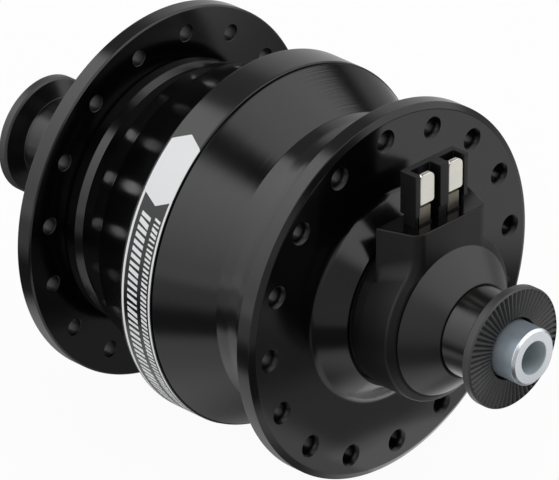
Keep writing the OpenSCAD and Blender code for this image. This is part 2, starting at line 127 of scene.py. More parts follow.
def newGroup(name, inputs, outputs):
    group = bpy.data.node_groups.new(name, "ShaderNodeTree")
    for label, value in inputs.items():
        socket = group.interface.new_socket(label, in_out="INPUT", socket_type="NodeSocketFloat")
        socket.default_value = value
    for label in outputs:
        group.interface.new_socket(label, in_out="OUTPUT", socket_type="NodeSocketFloat")
    return group, addNode(group, "NodeGroupInput"), addNode(group, "NodeGroupOutput")


def latheLinesGroup():  # fine rings left by the turning tool, on faces and on barrels alike
    group, into, out = newGroup("latheLines", {"Lines per mm": 6.0, "Drift": 0.35}, ["Lines", "Broad"])
    faceShare = 0.7  # lines per mm on a flat face against those on a barrel
    x, y, z = partsOf(group, addNode(group, "ShaderNodeTexCoord").outputs["Object"])
    radius = mathNode(group, "SQRT", plus(group, times(group, x, x), times(group, z, z)))
    along = times(group, plus(group, y, times(group, radius, faceShare)), perMetre)
    sides = [times(group, mathNode(group, "DIVIDE", side, radius), into.outputs["Drift"]) for side in (x, z)]
    spot = vectorOf(group, sides[0], times(group, along, into.outputs["Lines per mm"]), sides[1])
    group.links.new(noiseOf(group, spot, 1.0, 3.0), out.inputs["Lines"])
    group.links.new(noiseOf(group, spot, 0.33, 1.0), out.inputs["Broad"])
    return group


def surfaceGrainGroup():  # grain of a blasted or moulded surface, and soft blotches
    group, into, out = newGroup("surfaceGrain", {"Grains per mm": 6.0, "Blotch mm": 9.0}, ["Grain", "Blotch"])
    spot = addNode(group, "ShaderNodeTexCoord").outputs["Object"]
    fine = times(group, into.outputs["Grains per mm"], perMetre)
    coarse = mathNode(group, "DIVIDE", perMetre, into.outputs["Blotch mm"])
    group.links.new(noiseOf(group, spot, fine, 4.0), out.inputs["Grain"])
    group.links.new(noiseOf(group, spot, coarse, 2.0), out.inputs["Blotch"])
    return group


latheLines = latheLinesGroup()
surfaceGrain = surfaceGrainGroup()


def makeFinish(name, look):
    lineShare = 0.4  # part of the lathe lines in the tone
    finish = bpy.data.materials.new(name)
    finish.use_nodes = True
    tree = finish.node_tree
    shader = tree.nodes["Principled BSDF"]
    shader.inputs["Metallic"].default_value = look.get("metallic", 0.0)
    shader.inputs["IOR"].default_value = look.get("ior", 1.5)
    grain = addNode(tree, "ShaderNodeGroup", node_tree=surfaceGrain)
    grain.inputs["Grains per mm"].default_value = look.get("grainsPerMm", 6.0)
    grain.inputs["Blotch mm"].default_value = look.get("blotchMm", 9.0)
    height = times(tree, grain.outputs["Grain"], look.get("grainHeight", 0.3))
    tone = grain.outputs["Blotch"]
    if look.get("lines"):
        group = addNode(tree, "ShaderNodeGroup", node_tree=latheLines)
        group.inputs["Lines per mm"].default_value = look["lines"]
        group.inputs["Drift"].default_value = look.get("drift", 0.35)
        lines = group.outputs["Lines"]
        height = plus(tree, height, times(tree, lines, look["lineHeight"]))
        height = plus(tree, height, times(tree, group.outputs["Broad"], look.get("broadHeight", 0.0)))
        tone = plus(tree, times(tree, tone, 1 - lineShare), times(tree, lines, lineShare))
    mix = addNode(tree, "ShaderNodeMix", data_type="RGBA")
    mix.inputs["A"].default_value = (*look["dark"], 1)
    mix.inputs["B"].default_value = (*look["light"], 1)
    tree.links.new(tone, mix.inputs["Factor"])
    tree.links.new(mix.outputs["Result"], shader.inputs["Base Color"])
    rough = addNode(tree, "ShaderNodeMapRange")
    toneRange = (0.3, 0.7)
    limits = (*toneRange, *look["roughness"])
    for label, value in zip(("From Min", "From Max", "To Min", "To Max"), limits):
        rough.inputs[label].default_value = value
    tree.links.new(tone, rough.inputs["Value"])
    tree.links.new(rough.outputs["Result"], shader.inputs["Roughness"])
    bump = addNode(tree, "ShaderNodeBump")
    bump.inputs["Strength"].default_value = look.get("bump", 0.2)
    bump.inputs["Distance"].default_value = 0.02 * mm
    tree.links.new(height, bump.inputs["Height"])
    tree.links.new(bump.outputs["Normal"], shader.inputs["Normal"])
    return finish


looks = {
    "anodisedGloss": {"dark": (0.001, 0.001, 0.0011), "light": (0.002, 0.002, 0.0021),
                      "roughness": (0.13, 0.19), "grainHeight": 0.15, "lines": 7.0, "lineHeight": 0.3,
                      "bump": 0.12},
    "anodisedTurned": {"dark": (0.002, 0.002, 0.0021), "light": (0.005, 0.005, 0.0053),
                       "roughness": (0.13, 0.2), "grainHeight": 0.1, "lines": 7.0, "lineHeight": 1.2,
                       "broadHeight": 1.6, "drift": 0.8, "bump": 0.3},
    "anodisedBand": {"dark": (0.0035, 0.0035, 0.0037), "light": (0.006, 0.006, 0.0063),
                     "roughness": (0.17, 0.22), "grainHeight": 0.15, "lines": 9.0, "lineHeight": 0.25,
                     "bump": 0.12},
    "capSatin": {"dark": (0.008, 0.008, 0.0084), "light": (0.013, 0.013, 0.0135),
                 "roughness": (0.3, 0.38), "grainHeight": 0.5, "lines": 8.0, "lineHeight": 0.4, "bump": 0.25},
    "nutGloss": {"dark": (0.003, 0.003, 0.0032), "light": (0.006, 0.006, 0.0063),
                 "roughness": (0.18, 0.25), "grainHeight": 0.1, "lines": 9.0, "lineHeight": 0.35,
                 "bump": 0.15},
    "nutSerrated": {"dark": (0.029, 0.029, 0.0295), "light": (0.047, 0.047, 0.0475),
                    "roughness": (0.35, 0.5), "grainHeight": 0.6, "bump": 0.4},
    "housingPlastic": {"dark": (0.0014, 0.0014, 0.0015), "light": (0.0024, 0.0024, 0.0025), "ior": 1.4,
                       "roughness": (0.4, 0.47), "grainHeight": 0.5, "grainsPerMm": 9.0, "bump": 0.2},
    "housingGloss": {"dark": (0.001, 0.001, 0.0011), "light": (0.0016, 0.0016, 0.0017), "ior": 1.35,
                     "roughness": (0.16, 0.22), "grainHeight": 0.3, "grainsPerMm": 9.0, "bump": 0.1},
    "spokeBore": {"dark": (0.001, 0.001, 0.0011), "light": (0.002, 0.002, 0.0021), "ior": 1.4,
                  "roughness": (0.32, 0.42), "grainHeight": 0.5, "bump": 0.2},
    "contactNickel": {"dark": (0.68, 0.66, 0.6), "light": (0.82, 0.8, 0.73), "metallic": 1.0,
                      "roughness": (0.22, 0.34), "grainHeight": 0.5, "bump": 0.2, "blotchMm": 3.0},
    # contactFoot is a darker, browner copy of the contact metal for the stems and bends: the brass tint is
    # their own, the darkness is painted shade under the plates
    "contactFoot": {"dark": (0.16, 0.145, 0.12), "light": (0.24, 0.22, 0.18), "metallic": 1.0,
                    "roughness": (0.3, 0.42), "grainHeight": 0.5, "bump": 0.2, "blotchMm": 2.0},
    "axleSilver": {"dark": (0.66, 0.7, 0.74), "light": (0.82, 0.85, 0.89), "metallic": 1.0,
                   "roughness": (0.22, 0.34), "grainHeight": 0.4, "grainsPerMm": 5.0, "blotchMm": 6.0,
                   "lines": 7.0, "lineHeight": 1.2, "drift": 0.1, "bump": 0.4},
    "axleSide": {"dark": (0.22, 0.27, 0.31), "light": (0.4, 0.46, 0.51), "metallic": 0.5,
                 "roughness": (0.34, 0.5), "grainHeight": 0.5, "blotchMm": 5.0, "lines": 4.0,
                 "lineHeight": 2.0, "drift": 0.1, "bump": 0.6},
    "axleBore": {"dark": (0.38, 0.44, 0.47), "light": (0.5, 0.56, 0.59),
                 "roughness": (0.4, 0.55), "grainHeight": 0.6, "lines": 4.0, "lineHeight": 0.8, "bump": 0.4},
    "threadDark": {"dark": (0.02, 0.02, 0.021), "light": (0.04, 0.04, 0.041), "metallic": 0.6,
                   "roughness": (0.4, 0.55), "grainHeight": 0.5, "lines": 2.0, "lineHeight": 1.0,
                   "bump": 0.5},
    "printInk": {"dark": (0.8, 0.81, 0.82), "light": (0.87, 0.88, 0.89), "roughness": (0.35, 0.5),
                 "grainHeight": 0.6, "grainsPerMm": 8.0, "bump": 0.25},
    "sealRubber": {"dark": (0.008, 0.008, 0.008), "light": (0.015, 0.015, 0.015), "roughness": (0.55, 0.7),
                   "grainHeight": 0.8, "bump": 0.3},
    "sleeveSteel": {"dark": (0.45, 0.46, 0.48), "light": (0.6, 0.61, 0.63), "metallic": 1.0,
                    "roughness": (0.25, 0.4), "lines": 6.0, "lineHeight": 0.8, "bump": 0.3},
    "poleIron": {"dark": (0.3, 0.3, 0.31), "light": (0.42, 0.42, 0.43), "metallic": 1.0,
                 "roughness": (0.4, 0.6), "grainHeight": 0.9, "bump": 0.4},
    "magnetGrey": {"dark": (0.09, 0.09, 0.1), "light": (0.15, 0.15, 0.16), "metallic": 0.4,
                   "roughness": (0.45, 0.6), "grainHeight": 0.9, "bump": 0.4},
    "bobbinPlastic": {"dark": (0.58, 0.55, 0.45), "light": (0.68, 0.65, 0.55), "roughness": (0.4, 0.5),
                      "grainHeight": 0.5, "bump": 0.2},
    "copperWire": {"dark": (0.5, 0.22, 0.09), "light": (0.72, 0.38, 0.18), "metallic": 1.0,
                   "roughness": (0.25, 0.4), "lines": 2.2, "lineHeight": 2.0, "bump": 0.6},
    "leadRed": {"dark": (0.3, 0.02, 0.02), "light": (0.4, 0.035, 0.03), "roughness": (0.4, 0.5),
                "grainHeight": 0.5, "bump": 0.2},
    "leadBlack": {"dark": (0.015, 0.015, 0.015), "light": (0.025, 0.025, 0.025), "roughness": (0.4, 0.5),
                  "grainHeight": 0.5, "bump": 0.2},
    "bearingSteel": {"dark": (0.6, 0.61, 0.63), "light": (0.72, 0.73, 0.75), "metallic": 1.0,
                     "roughness": (0.1, 0.2), "lines": 8.0, "lineHeight": 0.4, "bump": 0.2},
    "cagePlastic": {"dark": (0.4, 0.3, 0.14), "light": (0.5, 0.39, 0.2), "roughness": (0.45, 0.55),
                    "grainHeight": 0.6, "bump": 0.25},
}
finishes = {name: makeFinish(name, look) for name, look in looks.items()}
print("finishes made:", len(finishes))


# turned pieces: an outline of radius against place along the axle, swept round the axle

def roundCorner(before, corner, after, radius, stepDeg=8.0):
    u = (before - corner).normalized()
    v = (after - corner).normalized()
    half = math.acos(max(-1.0, min(1.0, u.dot(v)))) / 2
    middle = corner + (u + v).normalized() * (radius / math.sin(half))
    p = corner + u * (radius / math.tan(half)) - middle
    q = corner + v * (radius / math.tan(half)) - middle
    start = math.atan2(p.y, p.x)
    turn = (math.atan2(q.y, q.x) - start + 3 * math.pi) % (2 * math.pi) - math.pi
    steps = max(3, math.ceil(abs(turn) / math.radians(stepDeg)))
    angles = [start + turn * i / steps for i in range(steps + 1)]
    return [middle + Vector((math.cos(a), math.sin(a))) * radius for a in angles]


def roundedOutline(points):  # each point is radius, place, rounding, and the finish of the stretch after it
    made = []
    full = [(*point, 0, 0)[:4] for point in points]
    for i, (radius, place, rounding, finish) in enumerate(full):
        corner = Vector((radius, place))
        before, after = full[i - 1], full[(i + 1) % len(full)]
        if rounding:
            arc = roundCorner(Vector(before[:2]), corner, Vector(after[:2]), rounding)
            made += [(spot, before[3]) for spot in arc[:-1]] + [(arc[-1], finish)]
        else:
            made.append((corner, finish))
    return made


def withSupports(outline, margin=0.12):  # extra rings near corners keep the flats flat in reflections
    made = []
    for i, (spot, finish) in enumerate(outline):
        following = outline[(i + 1) % len(outline)][0]
        run = following - spot
        made.append((spot, finish))
        if run.length > 5 * margin:
            step = run.normalized() * margin
            made.append((spot + step, finish))
            made.append((following - step, finish))
    return made


def makeObject(name, mesh, finishNames):
    obj = bpy.data.objects.new(name, mesh)
    bpy.context.scene.collection.objects.link(obj)
    for finish in finishNames:
        mesh.materials.append(finishes[finish])
    smoothShade(mesh)
    return obj


def objectFrom(name, build, finishNames):  # the built mesh as an object, its faces turned outwards
    bmesh.ops.recalc_face_normals(build, faces=build.faces)
    mesh = bpy.data.meshes.new(name)
    build.to_mesh(mesh)
    build.free()
    return makeObject(name, mesh, finishNames)


def smoothShade(mesh, sharpDeg=32.0):
    mesh.polygons.foreach_set("use_smooth", [True] * len(mesh.polygons))
    mesh.set_sharp_from_angle(angle=math.radians(sharpDeg))
    mesh.update()


def aroundAxle(radius, turn, place):
    return (radius * math.sin(turn) * mm, place * mm, radius * math.cos(turn) * mm)


def turned(name, points, finishNames, segments=256):
    outline = withSupports(roundedOutline(points))
    build = bmesh.new()
    turns = [2 * math.pi * i / segments for i in range(segments)]
    rings = [[build.verts.new(aroundAxle(spot.x, turn, spot.y)) for turn in turns]
             for spot, finish in outline]
    for i, (spot, finish) in enumerate(outline):
        here, there = rings[i], rings[(i + 1) % len(rings)]
        for k in range(segments):
            face = build.faces.new((here[k], here[k - 1], there[k - 1], there[k]))
            face.material_index = finish
    return objectFrom(name, build, finishNames)


def mirrored(points):  # an outline of the left-hand end, at the right-hand end
    return [(p[0], -p[1], *p[2:]) for p in points]


# geometry nodes

def newGeometryTree(name, inputs):
    tree = bpy.data.node_groups.new(name, "GeometryNodeTree")
    face = tree.interface
    face.new_socket("Geometry", in_out="INPUT", socket_type="NodeSocketGeometry")
    kinds = {int: "NodeSocketInt", float: "NodeSocketFloat", type(None): "NodeSocketMaterial"}
    for label, value in inputs.items():
        socket = face.new_socket(label, in_out="INPUT", socket_type=kinds[type(value)])
        if value is not None:
            socket.default_value = value
    face.new_socket("Geometry", in_out="OUTPUT", socket_type="NodeSocketGeometry")
    return tree, addNode(tree, "NodeGroupInput"), addNode(tree, "NodeGroupOutput")


def pointsRound(tree, count, radius, place, angle):  # points on a circle round the axle
    points = addNode(tree, "GeometryNodePoints")
    spot = vectorOf(tree, times(tree, mathNode(tree, "SINE", angle), radius), place,
                    times(tree, mathNode(tree, "COSINE", angle), radius))
    tree.links.new(count, points.inputs["Count"])
    tree.links.new(spot, points.inputs["Position"])
    return points.outputs[0]


def ringAngle(tree, count, first=0.0):  # the angle of each point of an even ring
    index = addNode(tree, "GeometryNodeInputIndex").outputs[0]
    return plus(tree, first, times(tree, index, mathNode(tree, "DIVIDE", 2 * math.pi, count)))


def cornerPlaces(tree):
    return partsOf(tree, addNode(tree, "GeometryNodeInputPosition").outputs[0])


def reshaped(tree, mesh, *places):  # the mesh with its corners moved to new places
    move = addNode(tree, "GeometryNodeSetPosition")
    tree.links.new(mesh, move.inputs["Geometry"])
    tree.links.new(vectorOf(tree, *places), move.inputs["Position"])
    return move.outputs[0]


def cutAndDress(tree, into, out, cutter, points, turn):  # cuts at each point and finishes the cut faces
    mark = addNode(tree, "GeometryNodeStoreNamedAttribute", data_type="BOOLEAN", domain="FACE")
    mark.inputs["Name"].default_value = "cutFace"
    mark.inputs["Value"].default_value = True
    tree.links.new(cutter, mark.inputs["Geometry"])
    spread = addNode(tree, "GeometryNodeInstanceOnPoints")
    tree.links.new(points, spread.inputs["Points"])
    tree.links.new(mark.outputs[0], spread.inputs["Instance"])
    tree.links.new(turn, spread.inputs["Rotation"])
    solid = addNode(tree, "GeometryNodeRealizeInstances")
    tree.links.new(spread.outputs[0], solid.inputs[0])
    cut = addNode(tree, "GeometryNodeMeshBoolean", operation="DIFFERENCE", solver="EXACT")
    tree.links.new(into.outputs["Geometry"], cut.inputs["Mesh 1"])
    tree.links.new(solid.outputs[0], cut.inputs["Mesh 2"])
    real = addNode(tree, "GeometryNodeRealizeInstances")
    tree.links.new(cut.outputs["Mesh"], real.inputs[0])
    marked = addNode(tree, "GeometryNodeInputNamedAttribute", data_type="BOOLEAN")
    marked.inputs["Name"].default_value = "cutFace"
    dress = addNode(tree, "GeometryNodeSetMaterial")
    tree.links.new(real.outputs[0], dress.inputs["Geometry"])
    tree.links.new(marked.outputs["Attribute"], dress.inputs["Selection"])
    tree.links.new(into.outputs["Finish"], dress.inputs["Material"])
    tree.links.new(dress.outputs[0], out.inputs[0])


def spokeHoleTree():
    tree, into, out = newGeometryTree("spokeHoles", {
        "Hole Count": 16, "Circle Radius": 0.026, "First Angle": 0.0, "Flange Middle": 0.0234,
        "Flange Thickness": 0.0032, "Hole Radius": 0.0013, "Mouth Round": 0.0014, "Back Round": 0.00018,
        "Outward": 1.0, "Finish": None})
    size = into.outputs
    sideRings, bendRings, wholeBend = 13, 5, math.radians(50)
    stickOut, sink = 0.2 * mm, 0.04 * mm
    drill = addNode(tree, "GeometryNodeMeshCylinder", fill_type="NGON")
    drill.inputs["Vertices"].default_value = 48
    drill.inputs["Side Segments"].default_value = sideRings
    tree.links.new(size["Hole Radius"], drill.inputs["Radius"])
    tree.links.new(size["Flange Thickness"], drill.inputs["Depth"])
    x, y, z = cornerPlaces(tree)
    half = mathNode(tree, "DIVIDE", size["Flange Thickness"], 2.0)
    share = mathNode(tree, "DIVIDE", mathNode(tree, "ABSOLUTE", z), half)
    ring = mathNode(tree, "ROUND", times(tree, minus(tree, share, 1 / sideRings), sideRings / 2))
    bend = times(tree, mathNode(tree, "MINIMUM", ring, bendRings), wholeBend / bendRings)
    past = times(tree, mathNode(tree, "GREATER_THAN", ring, bendRings + 0.5), stickOut)
    outer = mathNode(tree, "GREATER_THAN", times(tree, z, size["Outward"]), 0.0)
    more = times(tree, minus(tree, size["Mouth Round"], size["Back Round"]), outer)
    mouth = plus(tree, size["Back Round"], more)  # wide on the outer face, a broken edge on the back
    curve = times(tree, mouth, mathNode(tree, "SINE", bend))
    inner = minus(tree, half, plus(tree, times(tree, mouth, math.sin(wholeBend)), sink))
    level = plus(tree, plus(tree, inner, curve), past)
    wide = plus(tree, times(tree, mouth, minus(tree, 1.0, mathNode(tree, "COSINE", bend))),
                times(tree, past, math.tan(wholeBend)))
    flare = plus(tree, 1.0, mathNode(tree, "DIVIDE", wide, size["Hole Radius"]))
    cutter = reshaped(tree, drill.outputs["Mesh"], times(tree, x, flare), times(tree, y, flare),
                      times(tree, level, mathNode(tree, "SIGN", z)))
    angle = ringAngle(tree, size["Hole Count"], size["First Angle"])
    points = pointsRound(tree, size["Hole Count"], size["Circle Radius"], size["Flange Middle"], angle)
    cutAndDress(tree, into, out, cutter, points, vectorOf(tree, math.pi / 2, 0.0, 0.0))
    return tree


def serrationTree():
    tree, into, out = newGeometryTree("serrations", {
        "Groove Count": 60, "Groove Depth": 0.00035, "Groove Width": 0.0005, "Inner Radius": 0.00556,
        "Outer Radius": 0.0102, "Face Place": -0.05, "Inward": 1.0, "Finish": None})
    size = into.outputs
    wedge = addNode(tree, "GeometryNodeMeshCylinder", fill_type="NGON")
    wedge.inputs["Vertices"].default_value = 3
    wedge.inputs["Radius"].default_value = 1.0
    tree.links.new(minus(tree, size["Outer Radius"], size["Inner Radius"]), wedge.inputs["Depth"])
    x, y, z = cornerPlaces(tree)
    middle = times(tree, plus(tree, size["Inner Radius"], size["Outer Radius"]), 0.5)
    deep = times(tree, size["Groove Depth"], size["Inward"])
    wide = mathNode(tree, "DIVIDE", size["Groove Width"], 2 * math.sin(math.pi / 3) * 2 / 3)
    across = times(tree, times(tree, y, size["Inward"]), -1.0)
    grow = mathNode(tree, "DIVIDE", plus(tree, middle, z), middle)  # wider and deeper further out
    cutter = reshaped(tree, wedge.outputs["Mesh"], times(tree, times(tree, across, wide), grow),
                      times(tree, times(tree, x, deep), grow), z)
    angle = ringAngle(tree, size["Groove Count"])
    points = pointsRound(tree, size["Groove Count"], middle, size["Face Place"], angle)
    cutAndDress(tree, into, out, cutter, points, vectorOf(tree, 0.0, angle, 0.0))
    return tree


def bakeModifiers(obj):  # the evaluated mesh takes the place of the plain one
    result = bpy.data.meshes.new_from_object(obj.evaluated_get(bpy.context.evaluated_depsgraph_get()))
    obj.modifiers.clear()
    old = obj.data
    obj.data = result
    bpy.data.meshes.remove(old)
    return obj


def applyTree(obj, tree, values):  # runs the tree on the object and keeps the result as its plain mesh
    modifier = obj.modifiers.new(tree.name, "NODES")
    modifier.node_group = tree
    for item in tree.interface.items_tree:
        if item.in_out == "INPUT" and item.name in values:
            modifier[item.identifier] = values[item.name]
    result = bakeModifiers(obj).data
    build = bmesh.new()
    build.from_mesh(result)
    bmesh.ops.recalc_face_normals(build, faces=build.faces)
    build.to_mesh(result)
    build.free()
    smoothShade(result)
    return obj


def keep(obj, body, slot, *replaced):  # the piece rides on its body and stands for its solid
    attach(obj, body)
    if replaced:
        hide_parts(*replaced)
    return obj


# the two shell halves

spokes = {"count": 16, "circleRadius": 26.0, "holeRadius": 1.3, "mouthRound": 1.4,
          "leftAngle": 8.05, "rightAngle": 19.3}
spokeHoles = spokeHoleTree()


def flangePoints(inner):  # bearing seat, boss, outer face, rim and back of a flange at the left-hand end
    face, back, rim = hub["flangeFace"], hub["flangeBack"], hub["flangeRadius"]
    return [
        (inner, 20.8), (11.6, 20.8), (11.6, 22.8), (13.0, 22.8), (13.0, 28.8), (13.55, 28.8, 0.15),
        (17.15, face, 1.6), (rim - 1.0, face, 0.4), (rim, face - 0.55, 0.12), (rim, back + 0.25, 0.12),
        (rim - 0.25, back, 0.12)]


leftShellPoints = [
    (26.8, -3.0), (26.8, 1.5), (16.5, 1.5), *flangePoints(16.5),
    (21.35, 21.8), (21.35, 21.0, 0.1), (20.8, 19.8), (20.5, 19.8), (20.5, 16.5, 0.4), (22.7, 16.5, 0.15),
    (23.5, 13.5, 1.5), (28.5, 3.4),
    (hub["bandRadius"], hub["bandLeft"], 0.25, 1), (hub["bandRadius"], hub["bandRight"], 0.25)]
rightShellPoints = mirrored([
    (24.45, -1.5), (24.45, 8.6), (16.5, 8.6), *flangePoints(16.5),
    (24.4, 21.8, 0.1), (24.4, 16.4, 2.0), (24.15, 14.4, 6.0), (24.15, 12.0, 0.15, 1), (29.0, 3.0, 0.25),
    (26.8, 3.0), (26.8, -1.5)])
flangeMiddle = (hub["flangeFace"] + hub["flangeBack"]) / 2
shells = [("left", 1, leftShellPoints, "anodisedBand"), ("right", -1, rightShellPoints, "anodisedTurned")]
for side, sign, points, second in shells:
    shell = turned(side + "ShellTurned", points, ["anodisedGloss", second])
    applyTree(shell, spokeHoles, {
        "Hole Count": spokes["count"], "Circle Radius": spokes["circleRadius"] * mm,
        "First Angle": math.radians(spokes[side + "Angle"]), "Flange Middle": sign * flangeMiddle * mm,
        "Hole Radius": spokes["holeRadius"] * mm, "Mouth Round": spokes["mouthRound"] * mm,
        "Outward": -float(sign), "Finish": finishes["spokeBore"]})
    keep(shell, "shell", "shell_black", side + "_shell")
print("shell halves turned and drilled")


# end nuts, cap and cone

serration = {"count": 60, "depth": 0.36, "width": 0.56, "inner": 4.8, "outer": 9.35}
serrations = serrationTree()


def nutPoints(seat, waist):  # the waist is the narrowest place of the neck
    face = hub["forkFace"]
    return [
        (4.7, seat), (7.2, seat), (7.2, seat + 0.6), *waist, (6.75, 47.0, 0.12), (9.3, 48.2, 0.05, 1),
        (9.6, 48.5, 0.05, 1), (9.6, face - 0.3, 0.05, 1), (9.3, face, 0.05, 1), (4.96, face, 0.0, 1),
        (4.96, 47.6), (4.7, 47.6)]


for side, seat, sign, waist in (("right", 41.4, -1, []), ("left", 35.05, 1, [(6.3, 42.5, 3.0)])):
    points = nutPoints(seat, waist) if sign > 0 else mirrored(nutPoints(seat, waist))
    nut = turned(side + "EndNut", points, ["nutGloss", "nutSerrated"], segments=240)
    applyTree(nut, serrations, {
        "Groove Count": serration["count"], "Groove Depth": serration["depth"] * mm,
        "Groove Width": serration["width"] * mm, "Inner Radius": serration["inner"] * mm,
        "Outer Radius": serration["outer"] * mm, "Face Place": sign * hub["forkFace"] * mm,
        "Inward": -float(sign), "Finish": finishes["nutSerrated"]})
    keep(nut, "axle_unit", "nut_black", side + "_end_nut")

capPoints = mirrored([
    (6.5, 37.2), (11.55, 37.2), (11.85, 37.5), (7.5, 42.0, 0.12), (7.3, 42.0), (7.3, 41.4), (6.5, 41.4)])
cap = turned("rightEndCap", capPoints, ["capSatin"], segments=192)
keep(cap, "axle_unit", "cap_black", "right_end_cap")
conePoints = [
    (6.5, 29.15), (12.9, 29.15, 0.2), (12.9, 30.45, 0.3), (7.5, 35.65, 0.12), (7.3, 35.65), (7.3, 35.05),
    (6.5, 35.05)]
cone = turned("leftCone", conePoints, ["capSatin"], segments=192)
keep(cone, "axle_unit", "cap_black", "left_cone")
print("end nuts, cap and cone turned")


# axle

end = hub["axleEnd"]
axlePoints = [
    (2.6, -end, 0.12), (4.1, -end, 0.1), (4.5, 0.4 - end, 0.1, 3), (4.5, -48.4, 0.0, 2), (4.7, -48.4, 0.0, 2),
    (4.7, -41.4), (6.5, -41.4), (6.5, -29.15), (8.5, -29.15), (8.5, 29.15), (6.5, 29.15), (6.5, 35.05),
    (4.7, 35.05, 0.0, 2), (4.7, 48.4, 0.0, 2), (4.5, 48.4, 0.0, 3), (4.5, end - 0.4, 0.1), (4.1, end, 0.1),
    (2.6, end, 0.12, 1)]
axle = turned("axleTube", axlePoints, ["axleSilver", "axleBore", "threadDark", "axleSide"], segments=160)
keep(axle, "axle_unit", "axle_steel", "axle")
print("axle turned")


# connector: housing with its platform, terminal block and contacts

connector = {
    "platform": 16.8, "back": -30.9, "front": -37.5, "backHalf": 9.75, "frontHalf": 7.3, "frontCorner": 2.2,
    "shoulder": 0.5, "topEdge": 0.2, "fillet": 4.6, "boreRadius": 6.5, "hiddenRadius": 11.4,
    "barrelRadius": 13.25, "coneStart": -36.4, "coneEnd": -37.2, "coneRadius": 12.05,
    # cuts that round the back edge: depth, and how much narrower and smaller the housing is there
    "backEdge": ((0.0, 0.12, 0.2), (0.05, 0.04, 0.07), (0.16, 0.05, 0.0)), "cuts": (-32.0, -33.5, -35.0),
    "backRing": ((-30.9, 12.9), (-29.35, 12.9), (-29.21, 12.84), (-29.15, 12.7)),
    "towerLeft": -6.15, "towerRight": 5.05, "slots": ((-5.2, -0.85), (0.97, 4.2)), "slotBack": -33.4,
    "towerFront": -35.6, "towerBack": -32.4, "towerTop": 25.6, "towerEdge": 0.32,
    "footTop": 18.6, "footInset": 0.35, "footSink": 0.3, "footLap": 0.1,
    "contactFront": -35.45, "contactBack": -34.65, "contactTop": 25.2, "contactFoot": 20.25,
    "contactSides": ((-5.0, -1.95), (1.1, 4.15)), "contactEdge": 0.14, "crease": 0.45,
    "stemFront": -35.2, "stemBottom": 15.0, "stemWidth": 2.4, "stemInset": 0.05, "stemShort": 0.05,
    "bendInset": 0.1, "bendLap": 0.2, "bendFront": 0.25, "bendShort": 0.1,
    "collarWall": 0.12, "collarFront": 0.14, "collarTop": 0.35, "collarSink": 0.1}


def prism(name, outline, low, high, finishNames, toward="Z"):  # a flat outline pulled straight
    build = bmesh.new()
    rings = []
    for level in (low, high):
        places = [(spot.x, spot.y, level) if toward == "Z" else (spot.x, level, spot.y) for spot in outline]
        rings.append([build.verts.new(Vector(place) * mm) for place in places])
    for k in range(len(outline)):
        build.faces.new((rings[0][k - 1], rings[0][k], rings[1][k], rings[1][k - 1]))
    build.faces.new(rings[0])
    build.faces.new(rings[1])
    return objectFrom(name, build, finishNames)


def flatOutline(*points):
    return [spot for spot, finish in roundedOutline(points)]


def rectangle(left, low, right, high):
    return flatOutline((left, low), (right, low), (right, high), (left, high))


def joinSolids(base, *others):  # one clean solid from overlapping ones
    for other in others:
        modifier = base.modifiers.new("join", "BOOLEAN")
        modifier.operation = "UNION"
        modifier.solver = "EXACT"
        modifier.object = other
    bakeModifiers(base)
    for other in others:
        bpy.data.objects.remove(other)
    smoothShade(base.data)
    return base


def softEdges(obj, width=0.0):  # small rounded edges, with the flats kept flat in reflections
    edgeDeg, sharpDeg = 40, 60
    if width:
        modifier = obj.modifiers.new("edge", "BEVEL")
        modifier.width = width * mm
        modifier.segments = 3
        modifier.limit_method = "ANGLE"
        modifier.angle_limit = math.radians(edgeDeg)
        bakeModifiers(obj)
        smoothShade(obj.data, sharpDeg)
    weigh = obj.modifiers.new("flats", "WEIGHTED_NORMAL")
    weigh.keep_sharp = True
    return bakeModifiers(obj)


def housingSlice(radius, half, top, edge):  # half of a cut across the housing, from bottom to top
    fillet = connector["fillet"]
    high = math.sqrt((radius + fillet) ** 2 - (half + fillet) ** 2)
    touch = math.atan2(high, half + fillet)
    made = []
    arcSteps, filletSteps, edgeSteps = 48, 10, 4
    for i in range(arcSteps + 1):
        angle = -math.pi / 2 + (touch + math.pi / 2) * i / arcSteps
        made.append((radius * math.cos(angle), radius * math.sin(angle)))
    for i in range(1, filletSteps + 1):
        angle = math.pi + touch - touch * i / filletSteps
        made.append((half + fillet + fillet * math.cos(angle), high + fillet * math.sin(angle)))
    for share in (0.03, 0.5, 0.97):
        made.append((half, high + (top - edge - high) * share))
    for i in range(edgeSteps + 1):
        angle = math.pi / 2 * i / edgeSteps
        made.append((half - edge + edge * math.cos(angle), top - edge + edge * math.sin(angle)))
    for share in (0.97, 0.5):
        made.append(((half - edge) * share, top))
    return made


def readAlong(points, place):  # a line of sizes against places, read at one place
    for (a, p), (b, q) in zip(points, points[1:]):
        if q <= place <= p:
            return a + (b - a) * (p - place) / (p - q)
    return points[-1][0]


